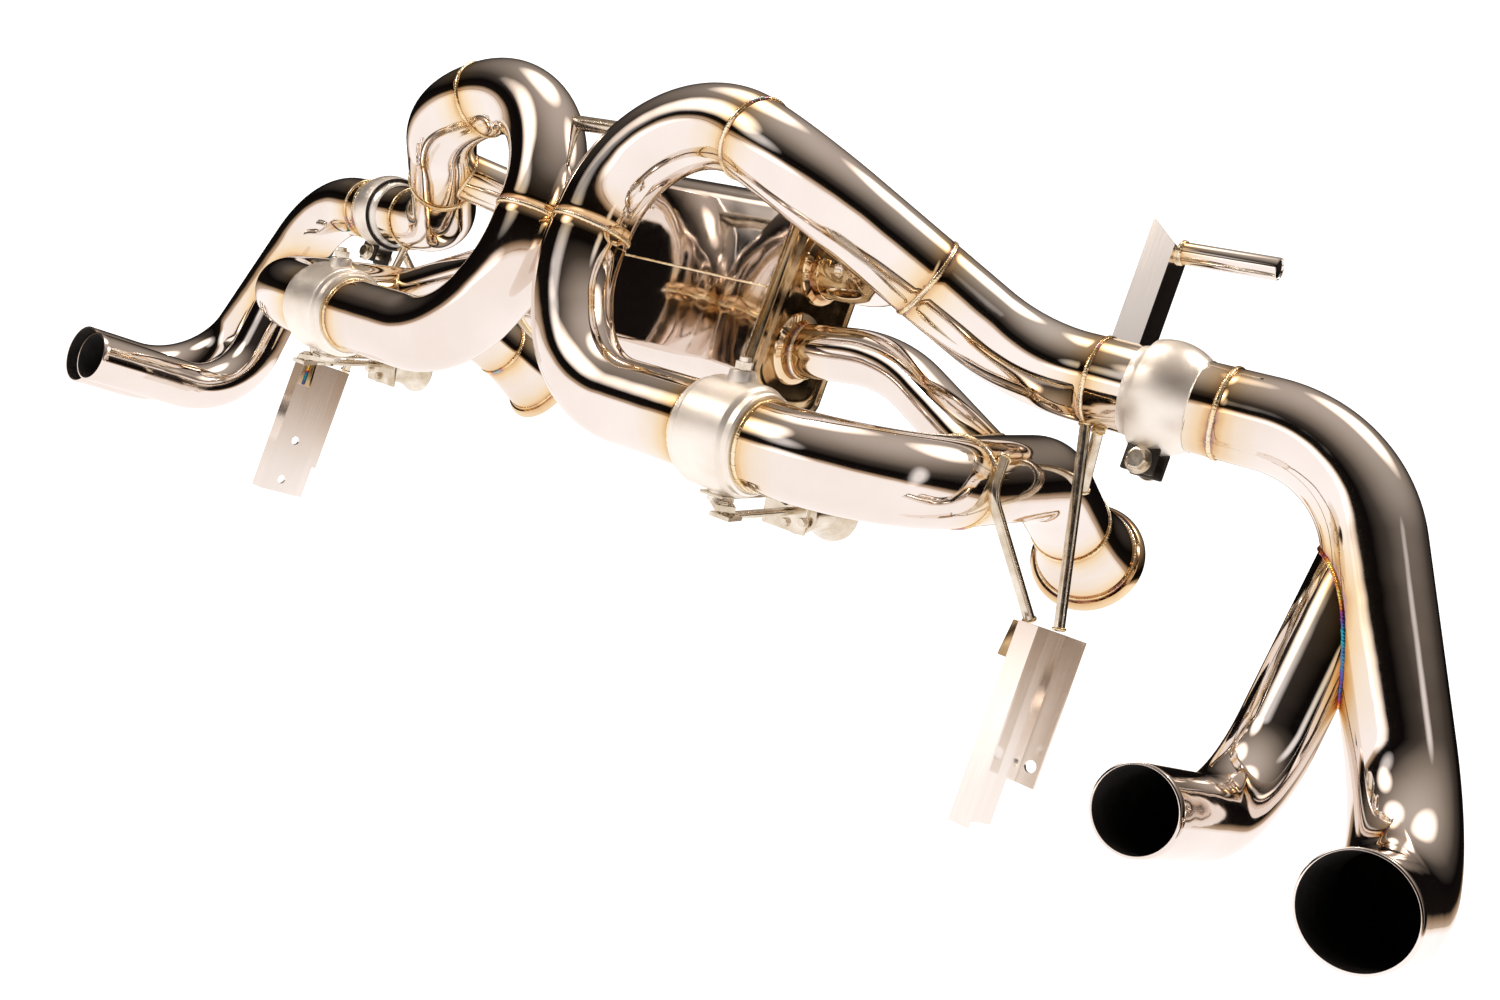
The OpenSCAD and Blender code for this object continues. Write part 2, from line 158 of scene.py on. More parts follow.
def circle_row(p, a, b, r, seg):
    """Points of a circle about p, in the plane of a and b."""
    w = np.linspace(0, 2 * math.pi, seg, endpoint=False)[:, None]
    return p + r * (np.cos(w) * a + np.sin(w) * b)


def quads(rows, seg, base=0, inward=False):
    """Quads between consecutive closed rows of vertices."""
    f = []
    for i in range(rows - 1):
        for j in range(seg):
            k = (j + 1) % seg
            q = (base + i * seg + j, base + i * seg + k, base + (i + 1) * seg + k, base + (i + 1) * seg + j)
            f.append(q[::-1] if inward else q)
    return f


def coped_rows(path, fr, r, seg, line):
    """Rows of a pipe whose first end is cut to sit on the round pipe given by line = (a, b, radius)."""
    a, b, big = line
    ax, d, p0 = unit(b - a), path[0][1], path[0][0]
    straight_n = sum(1 for _, t in path if np.linalg.norm(t - d) < 1e-6) - 1
    end = path[straight_n][0]
    rim = circle_row(p0, fr[0][0], fr[0][1], r, seg)
    w = rim - a
    w = w - (w @ ax)[:, None] * ax
    e = d - (d @ ax) * ax
    qa, qb, qc = e @ e, 2 * (w @ e), np.einsum("ij,ij->i", w, w) - big * big
    s = (-qb + np.sqrt(np.maximum(qb * qb - 4 * qa * qc, 0))) / (2 * qa)
    saddle = rim + s[:, None] * d
    far = rim + np.linalg.norm(end - p0) * d
    rows = [saddle + (far - saddle) * k / 8 for k in range(9)]
    rows += [circle_row(path[i][0], fr[i][0], fr[i][1], r, seg) for i in range(straight_n + 1, len(path))]
    return rows


def pipe(name, corners, radii, outer, mats, cope=None):
    """A bent tube with bore, rounded end lips and its distance from the welds."""
    seg, gap = SEG, 0.15 * MM
    c = list(corners)
    if cope is None:
        c[0] = c[0] + unit(c[1] - c[0]) * gap
    c[-1] = c[-1] - unit(c[-1] - c[-2]) * gap
    path = route(c, radii)
    fr = frames(path)
    if cope is None:
        rows_o = [circle_row(p, a, b, outer, seg) for (p, _), (a, b) in zip(path, fr)]
        rows_i = [circle_row(p, a, b, outer - WALL, seg) for (p, _), (a, b) in zip(path, fr)]
    else:
        rows_o = coped_rows(path, fr, outer, seg, cope)
        rows_i = coped_rows(path, fr, outer - WALL, seg, cope)
    lip = 0.35 * MM
    if cope is None:
        first, middle = rows_o[0], rows_o[0].mean(0)
        rows_o[:1] = [middle + (first - middle) * (1 - lip / outer), first + path[0][1] * lip]
    last, middle = rows_o[-1], path[-1][0]
    rows_o[-1:] = [last - path[-1][1] * lip, middle + (last - middle) * (1 - lip / outer)]
    n, m = len(rows_o), len(rows_i)
    verts = np.concatenate(rows_o + rows_i)
    faces = quads(n, seg) + quads(m, seg, n * seg, True)
    fm = [0] * ((n - 1) * seg) + [1] * ((m - 1) * seg)
    for o, i, rev in ((0, n * seg, True), ((n - 1) * seg, (n + m - 1) * seg, False)):
        for j in range(seg):
            k = (j + 1) % seg
            q = (o + j, o + k, i + k, i + j)
            faces.append(q[::-1] if rev else q)
            fm.append(0)
    return make(name, verts, faces, mats, fm, {"weld_gap": gap_of(verts)}, 50)


def lathe(name, profile, centre, axis, mats, seg=96, face_mat=None, smooth=30):
    """A closed profile of (distance along, radius) turned about an axis."""
    a, b = frames([(centre, axis)])[0]
    rows = [circle_row(centre + axis * z * MM, a, b, r * MM, seg) for z, r in profile]
    verts = np.concatenate(rows)
    n = len(rows)
    faces, fm = [], []
    for i in range(n):
        for j in range(seg):
            k, u = (j + 1) % seg, (i + 1) % n
            faces.append((i * seg + j, i * seg + k, u * seg + k, u * seg + j))
            fm.append(face_mat[i] if face_mat else 0)
    ob = make(name, verts, faces, mats, fm, {"weld_gap": gap_of(verts)}, smooth)
    tidy_normals(ob, smooth)
    return ob


def tidy_normals(ob, smooth=30):
    """Turns all faces outward and marks the sharp edges again."""
    bm = bmesh.new()
    bm.from_mesh(ob.data)
    bmesh.ops.recalc_face_normals(bm, faces=bm.faces)
    bm.to_mesh(ob.data)
    bm.free()
    ob.data.set_sharp_from_angle(angle=math.radians(smooth))


def ring_curve(centre, axis, r, seg=180):
    """Closed round curve about an axis."""
    a, b = frames([(centre, unit(axis))])[0]
    return circle_row(centre, a, b, r, seg)


def saddle_curve(corners, radii, r, line):
    """Closed curve where a pipe of radius r meets the round pipe given by line."""
    path = route(list(corners), radii)
    return coped_rows(path, frames(path), r, 180, line)[0]


def even(curve, n):
    """The closed curve sampled again at n even steps."""
    c = np.concatenate([curve, curve[:1]])
    s = np.concatenate([[0], np.cumsum(np.linalg.norm(np.diff(c, axis=0), axis=1))])
    q = np.linspace(0, s[-1], n, endpoint=False)
    return np.stack([np.interp(q, s, c[:, i]) for i in range(3)], 1), s[-1]


def bead(name, curve, mats, width=1.9, height=1.25, pitch=2.3):
    """A weld bead: overlapping rounded ripples laid along a closed curve."""
    _, length = even(curve, 16)
    ripples, per = int(length / (pitch * MM)), 6      # per: steps of one ripple
    n, sec = ripples * per, 10
    c, _ = even(curve, n)
    t = np.roll(c, -1, 0) - np.roll(c, 1, 0)
    t /= np.linalg.norm(t, axis=1)[:, None]
    out = c - c.mean(0)
    out -= np.einsum("ij,ij->i", out, t)[:, None] * t
    out /= np.linalg.norm(out, axis=1)[:, None]
    side = np.cross(t, out)
    local = random.Random(name)
    wob = np.array([local.uniform(0.9, 1.12) for _ in range(ripples)]).repeat(per)
    ph = (np.arange(n) % per) / per
    lift = (0.72 + 0.28 * np.sqrt(np.clip(1 - (ph * 2 - 0.7) ** 2 / 1.7, 0, 1))) * wob
    lean = (ph - 0.5) * 0.7 * MM
    verts = []
    for k in range(sec):
        w = 2 * math.pi * k / sec
        verts.append(c + out * (math.sin(w) * height * MM * lift)[:, None]
                     + side * (math.cos(w) * width * MM * wob)[:, None] + t * (lean * math.sin(w))[:, None])
    verts = np.stack(verts, 1).reshape(-1, 3)
    faces = []
    for i in range(n):
        for k in range(sec):
            u, v = (i + 1) % n, (k + 1) % sec
            faces.append((i * sec + k, i * sec + v, u * sec + v, u * sec + k))
    tone = [0.5 + 0.5 * math.sin(i / n * 12.6 + local.random() * 0.5) for i in range(n) for _ in range(sec)]
    ob = make(name, verts, faces, mats, None, {"tone": tone}, 60)
    tidy_normals(ob, 60)
    return ob


# ---------- materials ----------


def nodes_of(name):
    """A new material, its node tree, its Principled shader and the call that links sockets."""
    m = bpy.data.materials.new(name)
    m.use_nodes = True
    nt = m.node_tree
    return m, nt, nt.nodes["Principled BSDF"], nt.links.new


def noise(nt, scale, detail=3.0, stretch=(1, 1, 1), rough=0.5):
    """Noise fixed to the object, from 0 to 1."""
    co = nt.nodes.new("ShaderNodeTexCoord")
    mp = nt.nodes.new("ShaderNodeMapping")
    mp.inputs["Scale"].default_value = stretch
    no = nt.nodes.new("ShaderNodeTexNoise")
    no.inputs["Scale"].default_value = scale
    no.inputs["Detail"].default_value = detail
    no.inputs["Roughness"].default_value = rough
    nt.links.new(co.outputs["Object"], mp.inputs["Vector"])
    nt.links.new(mp.outputs["Vector"], no.inputs["Vector"])
    return no.outputs["Fac"]


def ramp(nt, value, stops):
    """Colour looked up from a value, by stops of (position, colour)."""
    r = nt.nodes.new("ShaderNodeValToRGB")
    e = r.color_ramp.elements
    while len(e) < len(stops):
        e.new(0.5)
    for k, (pos, col) in enumerate(stops):
        e[k].position = pos
        e[k].color = (*col, 1)
    nt.links.new(value, r.inputs["Fac"])
    return r.outputs["Color"]


def maths(nt, op, a, b=None, c=None):
    """A Math node; each input is a number or a socket."""
    n = nt.nodes.new("ShaderNodeMath")
    n.operation = op
    for i, v in enumerate((a, b, c)):
        if v is None:
            continue
        if isinstance(v, (int, float)):
            n.inputs[i].default_value = v
        else:
            nt.links.new(v, n.inputs[i])
    return n.outputs[0]


def mix_colour(nt, fac, a, b, mode="MIX"):
    """A colour mix; each input is a value or a socket."""
    n = nt.nodes.new("ShaderNodeMix")
    n.data_type = "RGBA"
    n.blend_type = mode
    for key, v in (("Factor", fac), ("A", a), ("B", b)):
        slot = [s for s in n.inputs if s.name == key and (s.type == "RGBA" or key == "Factor")][0]
        if isinstance(v, (tuple, float, int)):
            slot.default_value = (*v, 1) if isinstance(v, tuple) else v
        else:
            nt.links.new(v, slot)
    return [s for s in n.outputs if s.type == "RGBA"][0]


def bump(nt, bsdf, height, strength, distance):
    """Lets a height pattern bend the shading normal."""
    b = nt.nodes.new("ShaderNodeBump")
    b.inputs["Strength"].default_value = strength
    b.inputs["Distance"].default_value = distance
    nt.links.new(height, b.inputs["Height"])
    nt.links.new(b.outputs["Normal"], bsdf.inputs["Normal"])


STEEL = (0.90, 0.85, 0.81)
TINT_REACH = 0.034       # how far the heat tint reaches from a weld, in metres
TINT_WANDER = 0.010      # how far noise moves its bands


def polished():
    """Mirror-polished stainless steel, straw and brown beside the welds and a little purple at them."""
    m, nt, bsdf, link = nodes_of("polished_stainless")
    at = nt.nodes.new("ShaderNodeAttribute")
    at.attribute_name = "weld_gap"
    wave = noise(nt, 38, 3)
    gap = maths(nt, "SUBTRACT", at.outputs["Fac"], TINT_WANDER / 2)
    gap = maths(nt, "MULTIPLY_ADD", wave, TINT_WANDER, gap)
    t = maths(nt, "MULTIPLY", gap, 1 / TINT_REACH)
    tint = ramp(nt, t, [(0.0, (0.40, 0.34, 0.50)), (0.04, (0.52, 0.30, 0.24)), (0.09, (0.74, 0.50, 0.26)),
                        (0.22, (0.86, 0.68, 0.44)), (0.50, (0.88, 0.79, 0.66)), (1.0, STEEL)])
    grime = noise(nt, 9, 5)
    shade = ramp(nt, grime, [(0.35, (0.90, 0.86, 0.83)), (0.7, (1.0, 1.0, 1.0))])
    link(mix_colour(nt, 1.0, tint, shade, "MULTIPLY"), bsdf.inputs["Base Color"])
    fine = noise(nt, 260, 4, rough=0.6)
    link(ramp(nt, fine, [(0.3, (0.035,) * 3), (0.75, (0.085,) * 3)]), bsdf.inputs["Roughness"])
    bsdf.inputs["Metallic"].default_value = 1.0
    low = noise(nt, 17, 2, rough=0.4)
    bump(nt, bsdf, low, 0.22, 0.004)
    return m


def painted_bore_shade():
    """Bores of the pipes, cone, ball joint and hanger pin: near-black painted shade over steel, standing for
    the shade inside them.
    """
    m, nt, bsdf, link = nodes_of("bore_painted_shade")
    # near-black colour: painted shade inside the bores
    link(ramp(nt, noise(nt, 60, 5), [(0.3, (0.006, 0.005, 0.005)), (0.75, (0.035, 0.030, 0.027))]),
         bsdf.inputs["Base Color"])
    link(ramp(nt, noise(nt, 200, 3), [(0.2, (0.65,) * 3), (0.8, (0.9,) * 3)]), bsdf.inputs["Roughness"])
    bump(nt, bsdf, noise(nt, 300, 2), 0.1, 0.0003)
    return m


def cast():
    """Bead-blasted steel of valve bodies and ball joints."""
    m, nt, bsdf, link = nodes_of("blasted_steel")
    link(ramp(nt, noise(nt, 26, 5), [(0.3, (0.84, 0.78, 0.69)), (0.55, (0.93, 0.88, 0.81)),
                                     (0.8, (0.97, 0.93, 0.87))]), bsdf.inputs["Base Color"])
    bsdf.inputs["Metallic"].default_value = 0.9
    link(ramp(nt, noise(nt, 90, 4), [(0.3, (0.36,) * 3), (0.8, (0.48,) * 3)]), bsdf.inputs["Roughness"])
    bump(nt, bsdf, noise(nt, 1500, 3), 0.2, 0.0004)
    return m


STRAW = [(0.0, (0.16, 0.30, 0.46)), (0.10, (0.30, 0.46, 0.46)), (0.18, (0.50, 0.26, 0.30)),
         (0.28, (0.74, 0.50, 0.22)), (0.5, (0.90, 0.74, 0.46)), (1.0, (0.92, 0.85, 0.72))]
VIVID = [(0.0, (0.03, 0.22, 0.42)), (0.28, (0.04, 0.34, 0.46)), (0.42, (0.10, 0.10, 0.40)),
         (0.52, (0.42, 0.05, 0.14)), (0.62, (0.80, 0.30, 0.05)), (0.74, (0.95, 0.74, 0.20)),
         (1.0, (0.92, 0.85, 0.72))]


def weld(name, colours):
    """Weld bead whose heat colours change along it."""
    m, nt, bsdf, link = nodes_of(name)
    at = nt.nodes.new("ShaderNodeAttribute")
    at.attribute_name = "tone"
    v = maths(nt, "MULTIPLY_ADD", noise(nt, 45, 3), 1.2, maths(nt, "MULTIPLY", at.outputs["Fac"], 0.35))
    v = maths(nt, "SUBTRACT", v, 0.28)
    link(ramp(nt, v, colours), bsdf.inputs["Base Color"])
    bsdf.inputs["Metallic"].default_value = 1.0
    link(ramp(nt, noise(nt, 300, 3), [(0.2, (0.16,) * 3), (0.8, (0.34,) * 3)]), bsdf.inputs["Roughness"])
    bump(nt, bsdf, noise(nt, 900, 2), 0.3, 0.0003)
    return m


def satin():
    """Brushed sheet of brackets, hanger arms and valve discs."""
    m, nt, bsdf, link = nodes_of("satin_sheet")
    grain = noise(nt, 700, 4, (1, 1, 0.03))
    base = mix_colour(nt, noise(nt, 14, 4), (0.86, 0.80, 0.74), (0.97, 0.94, 0.91))
    link(mix_colour(nt, 0.25, base, ramp(nt, grain, [(0.3, (0.80, 0.77, 0.74)), (0.7, (1.0, 0.98, 0.96))]),
                    "MULTIPLY"), bsdf.inputs["Base Color"])
    bsdf.inputs["Metallic"].default_value = 1.0
    link(ramp(nt, grain, [(0.2, (0.12,) * 3), (0.8, (0.20,) * 3)]), bsdf.inputs["Roughness"])
    bump(nt, bsdf, grain, 0.05, 0.0001)
    return m


def bright():
    """Bolts, shafts, struts, actuators and the tie rod: lightly worn metal."""
    m, nt, bsdf, link = nodes_of("turned_fittings")
    link(ramp(nt, noise(nt, 70, 5), [(0.3, (0.55, 0.46, 0.33)), (0.7, (0.86, 0.80, 0.70))]),
         bsdf.inputs["Base Color"])
    bsdf.inputs["Metallic"].default_value = 1.0
    link(ramp(nt, noise(nt, 240, 3), [(0.2, (0.12,) * 3), (0.8, (0.30,) * 3)]), bsdf.inputs["Roughness"])
    bump(nt, bsdf, noise(nt, 800, 3), 0.15, 0.0002)
    return m


def blackened():
    """Clamp lugs, seal rings and two of the actuator's bolts."""
    m, nt, bsdf, link = nodes_of("blackened_metal")
    link(ramp(nt, noise(nt, 80, 5), [(0.3, (0.020, 0.017, 0.015)), (0.8, (0.10, 0.085, 0.07))]),
         bsdf.inputs["Base Color"])
    bsdf.inputs["Metallic"].default_value = 0.85
    link(ramp(nt, noise(nt, 160, 3), [(0.2, (0.25,) * 3), (0.8, (0.5,) * 3)]), bsdf.inputs["Roughness"])
    bump(nt, bsdf, noise(nt, 700, 3), 0.2, 0.0003)
    return m


def end_plate():
    """Muffler end plates and strut tabs: sheet gone brown and gold with heat."""
    m, nt, bsdf, link = nodes_of("heated_end_plate")
    link(ramp(nt, noise(nt, 16, 4), [(0.3, (0.30, 0.19, 0.09)), (0.5, (0.55, 0.40, 0.22)),
                                     (0.75, (0.72, 0.60, 0.42))]), bsdf.inputs["Base Color"])
    bsdf.inputs["Metallic"].default_value = 1.0
    link(ramp(nt, noise(nt, 120, 3), [(0.2, (0.10,) * 3), (0.8, (0.24,) * 3)]), bsdf.inputs["Roughness"])
    bump(nt, bsdf, noise(nt, 30, 2), 0.15, 0.002)
    return m


# the bore material is painted shade: a near-black colour for the shade inside hollows
POLISHED, BORE_SHADE, CAST, SATIN = polished(), painted_bore_shade(), cast(), satin()
WELD, HOT_WELD = weld("weld_bead", STRAW), weld("fork_weld", VIVID)
BRIGHT, BLACK, PLATE = bright(), blackened(), end_plate()

# ---------- welds: curves first, because the tube colours depend on them ----------

TAIL_LINE = (KNEE, DROP, MAIN)
TEE_LINE = (ARCH, TURN, MAIN)
OUTLET_LINE = (OUT, S_BEND, MAIN)


def weld_curves(side):
    """The weld curves of one half: those of the fixed part, and those of the tail."""
    def f(*a):
        return flip(side, *a)

    def line(a):
        return (*f(a[0], a[1]), a[2])

    x = f(PLUS_X)
    c = {"inlet_flange": ring_curve(f(INLET + IN_DIR * (FLANGE_T + 0.5 * MM)), f(IN_DIR), CONE_R),
         "cone": ring_curve(f(CONE_END), f(IN_DIR), MAIN + 0.2 * MM),
         "inlet": ring_curve(f(Y_RING), f(TURN - ARCH), MAIN),
         "valve_in": ring_curve(f(VALVE + p3(30.0, 0, 0)), x, MAIN),
         "valve_out": ring_curve(f(VALVE - p3(30.0, 0, 0)), x, MAIN),
         "riser": ring_curve(f(RING1), f(TOP - SIDE), MAIN),
         "over": ring_curve(f(RING2), f(OUT - TOP), MAIN),
         "long": ring_curve(f(RING3), f(S_BEND - OUT), MAIN),
         "stub": ring_curve(f(RING4), f(B_AXIS), MAIN),
         "outlet_tee": saddle_curve(f(OUTLET_2, OUTLET_1, OUTLET_0), [57 * MM], BYPASS, line(OUTLET_LINE)),
         "feed_tee": saddle_curve(f(TEE, FEED, FEED_0), [130 * MM], BYPASS, line(TEE_LINE)),
         "feed_collar": ring_curve(f(FEED_0 + p3(9.6, 0, 0)), x, BYPASS),
         "outlet_collar": ring_curve(f(OUTLET_0 + p3(3.2, 0, 0)), x, BYPASS)}
    c["pin_root"] = ring_curve(f(p3(419.8, 19, 108)), x, 8.0 * MM, 60)
    t = {"tail": ring_curve(f(RING5), f(B_AXIS), MAIN),
         "fork": saddle_curve(f(FORK, B_BEND, B_TIP), [76 * MM], BRANCH, line(TAIL_LINE))}
    return c, t


SEAM_Y, SEAM_Z = MUF[1] - MUF_Y / 2, 2 * MM


def seam_curve():
    """A long thin loop: there and back along the front of the muffler."""
    xs = np.linspace(-MUF_END + 12 * MM, MUF_END - 12 * MM, 200)
    top = np.stack([xs, np.full(200, SEAM_Y), np.full(200, SEAM_Z + 0.2 * MM)], 1)
    low = np.stack([xs[::-1], np.full(200, SEAM_Y), np.full(200, SEAM_Z - 0.2 * MM)], 1)
    return np.concatenate([top, low])


SEAM = seam_curve()
CURVES = {s: weld_curves(s) for s in SIDES}
HOT = np.concatenate([c for s in SIDES for group in CURVES[s] for c in group.values()] + [SEAM])
tree = kdtree.KDTree(len(HOT))
for i, spot in enumerate(HOT):
    tree.insert(Vector(spot), i)
tree.balance()


FAR_GAP = 0.2        # a gap is counted up to this, in metres


def gap_of(verts):
    """Distance of every vertex from the nearest weld."""
    return [min(tree.find(Vector(v))[2], FAR_GAP) for v in verts]


# ---------- the pieces of one half ----------


def stand_for(ob, body, slot, *nodes):
    """Puts a piece on its body, in place of the CAD nodes named, which it hides. The slot argument is not
    used.
    """
    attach(ob, body)
    if nodes:
        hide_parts(*nodes)


def tubes(side):
    """Every polished tube of one half."""
    def f(*a):
        return flip(side, *a)

    plan = [("inlet_pipe", f(CONE_END, ARCH, Y_RING), [80], MAIN, None),
            ("feed_pipe", f(Y_RING, TURN, V_IN), [80], MAIN, None),
            ("riser_pipe", f(V_OUT, LOW, SIDE, RING1), [95, 106], MAIN, None),
            ("over_pipe", f(RING1, TOP, RING2), [92], MAIN, None),
            ("long_pipe", f(RING2, OUT, RING3), [123], MAIN, None),
            ("s_pipe", f(RING3, S_BEND, RING4), [106], MAIN, None),
            ("bypass_pipe", f(TEE, FEED, FEED_0), [130], BYPASS, TEE_LINE),
            ("outlet_pipe", f(OUTLET_2, OUTLET_1, OUTLET_0), [57], BYPASS, OUTLET_LINE),
            ("tail_pipe", f(RING5, KNEE, DROP, TIP), [95, 95], MAIN, None),
            ("branch_pipe", f(FORK, B_BEND, B_TIP), [76], BRANCH, TAIL_LINE)]
    for name, pts, radii, rad, line in plan:
        cope = (*f(line[0], line[1]), line[2]) if line else None
        radii = [r * MM for r in radii]
        # material index 1, the bore, gets the near-black painted shade
        ob = pipe(f"{side}_{name}_look", pts, radii, rad, [POLISHED, BORE_SHADE], cope)
        body = f"{side}_tail" if name in ("tail_pipe", "branch_pipe") else "system"
        stand_for(ob, body, "polished", f"{side}_{name}")


def welds(side):
    """The weld beads of one half."""
    c, t = CURVES[side]
    obs = [bead(f"{side}_weld_{k}", v, [WELD]) for k, v in c.items()]
    for ob in obs:
        stand_for(ob, "system", "weld")
    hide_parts(f"{side}_beads")
    obs = [bead(f"{side}_weld_{k}", v, [WELD if k == "tail" else HOT_WELD]) for k, v in t.items()]
    for ob in obs:
        stand_for(ob, f"{side}_tail", "weld")
    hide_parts(f"{side}_tail_beads")


def inlet(side):
    """Flange ring and cone of the inlet, turned about the inlet axis."""
    c, d = flip(side, INLET), flip(side, IN_DIR)
    ring = [(0, 39.5), (0, 47.4), (0.6, 48), (2.4, 48), (7.4, 45.2), (8, 44.4), (8, 41.3), (5.2, 41.1),
            (5, 39.5)]
    ob = lathe(f"{side}_inlet_ring_look", ring, c, d, [POLISHED])
    stand_for(ob, "system", "polished", f"{side}_inlet_ring")
    steps = 24
    outer = [(5.3 + 64.5 * k / steps, 41 - 8.75 * (0.5 - 0.5 * math.cos(math.pi * k / steps)) ** 0.92)
             for k in range(steps + 1)]
    ob = lathe(f"{side}_inlet_cone_look", outer + [(z, r - 1.5) for z, r in outer[::-1]], c, d,
               [POLISHED, BORE_SHADE], face_mat=[0] * (steps + 1) + [1] * steps + [0])
    stand_for(ob, "system", "polished", f"{side}_inlet_cone")


def arc_points(r, lo, hi, step):
    """Profile points on a sphere of radius r about the joint, from angle lo to angle hi in degrees."""
    return [(-r * math.cos(math.radians(a)), r * math.sin(math.radians(a))) for a in range(lo, hi, step)]


def ball_joint(side):
    """Ball stub on the system, socket with collar on the tail."""
    c, d = flip(side, BALL), flip(side, B_AXIS)
    start = -(float(np.linalg.norm(BALL - RING4)) / MM - 0.2)
    arc = arc_points(BALL_R, 62, 119, 4)
    prof = [(start, 30.25), (start, 31.4), (start + 0.4, 31.75), (-22, 31.75), (-19.5, 32.2)] + arc
    prof += [(arc[-1][0], 30.25)]
    ob = lathe(f"{side}_ball_stub_look", prof, c, d, [POLISHED, CAST, BORE_SHADE],
               face_mat=[0, 0, 0, 1] + [1] * len(arc) + [1, 2])
    stand_for(ob, "system", "polished", f"{side}_ball_stub")
    outer = arc_points(SOCKET_R, 72, 127, 3)
    z1, r1 = outer[-1]
    end = float(np.linalg.norm(RING5 - BALL)) / MM - 0.2
    neck = [(z1 + 1.2, r1 - 0.8), (z1 + 2.4, 32.3), (z1 + 3.4, 31.75), (end - 0.4, 31.75), (end, 31.4),
            (end, 30.25), (24, 30.25)]
    prof = outer + neck + arc_points(SEAT_R, 127, 69, -3)
    face_mat = [0] * (len(outer) + 1) + [1] * 4 + [2] * (len(prof) - len(outer) - 5)
    ob = lathe(f"{side}_socket_look", prof, c, d, [CAST, POLISHED, BORE_SHADE], face_mat=face_mat)
    stand_for(ob, f"{side}_tail", "cast", f"{side}_socket")


def valve_body(side):
    """Blasted barrel with shoulders and a shaft boss above and below."""
    c, d = flip(side, VALVE), flip(side, PLUS_X)
    h = 28       # half the barrel's length
    prof = [(-h, 31.9), (-h, 34.6), (-h + 1.4, 36.2), (-h + 6, 36.6), (-h + 8, 38.9), (-h + 9.2, 39.5),
            (h - 9.2, 39.5), (h - 8, 38.9), (h - 6, 36.6), (h - 1.4, 36.2), (h, 34.6), (h, 31.9)]
    ob = lathe(f"{side}_valve_body_look", prof, c, d, [CAST], smooth=14)
    stand_for(ob, "system", "cast", f"{side}_valve_body")
    up = np.array([0, -math.sin(LEAN), math.cos(LEAN)])
    bosses = {"upper": [(37, 4.2), (37, 11.5), (38.6, 10.1), (44.4, 9.5), (46, 8.7), (46, 4.2)],
              "lower": [(-46, 4.2), (-46, 9.5), (-44.4, 9.5), (-38.6, 10.1), (-37, 11.5), (-37, 4.2)]}
    for k, prof in bosses.items():
        ob = lathe(f"{side}_valve_boss_{k}", prof, c, up, [CAST], seg=48)
        stand_for(ob, "system", "cast")


# CAD nodes of each half that are shown as they are
CARRIED = {"hanger_arm": SATIN, "bracket": SATIN, "valve_shaft": BRIGHT, "valve_disc": SATIN,
           "actuator_rod": BRIGHT, "seal_ring": BLACK}


def dress(node, mat):
    """Gives a CAD node that is shown as it is its material."""
    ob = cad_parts[node]
    ob.data.materials.clear()
    ob.data.materials.append(mat)


def muffler_outline(grow=0.0, n=240):
    """Cross-section of the muffler as (z, y): flat front and back, round top and bottom, soft corners."""
    big, hy, soft = MUF_Z / 2 + MM + grow, MUF_Y / 2 + grow, 14 * MM
    cy = hy - soft
    cz = math.sqrt((big - soft) ** 2 - cy * cy)
    a_big = math.atan2(cy, cz)
    pts = []
    for sz, sy in ((1, 1), (-1, 1), (-1, -1), (1, -1)):
        arc = [(big * math.cos(a), big * math.sin(a)) for a in np.linspace(0, a_big, n // 8)]
        arc += [(cz + soft * math.cos(a), cy + soft * math.sin(a))
                for a in np.linspace(a_big, math.pi / 2, n // 8)[1:]]
        arc = arc if sz * sy > 0 else arc[::-1]
        pts += [(sz * z, sy * y) for z, y in arc]
    keep = [p for i, p in enumerate(pts) if math.dist(p, pts[i - 1]) > 1e-6]
    return np.array(keep)


def muffler_row(x, grow=0.0):
    """The muffler's cross-section at x, grown outward."""
    o = muffler_outline(grow)
    return np.stack([np.full(len(o), MUF[0] + x), MUF[1] + o[:, 1], MUF[2] + o[:, 0]], 1)


def muffler():
    """Shell of rolled sheet with a welded seam along its front."""
    xs = np.linspace(-MUF_END + 2 * MM, MUF_END - 2 * MM, 60)
    rows = [muffler_row(x) for x in xs]
    verts = np.concatenate(rows)
    ob = make("muffler_shell_look", verts, quads(len(rows), len(rows[0])), [POLISHED], None,
              {"weld_gap": gap_of(verts)}, 40)
    tidy_normals(ob, 40)
    stand_for(ob, "system", "polished", "muffler_shell")
    ob = bead("muffler_seam", SEAM, [WELD], width=1.3, height=0.7)
    stand_for(ob, "system", "weld")


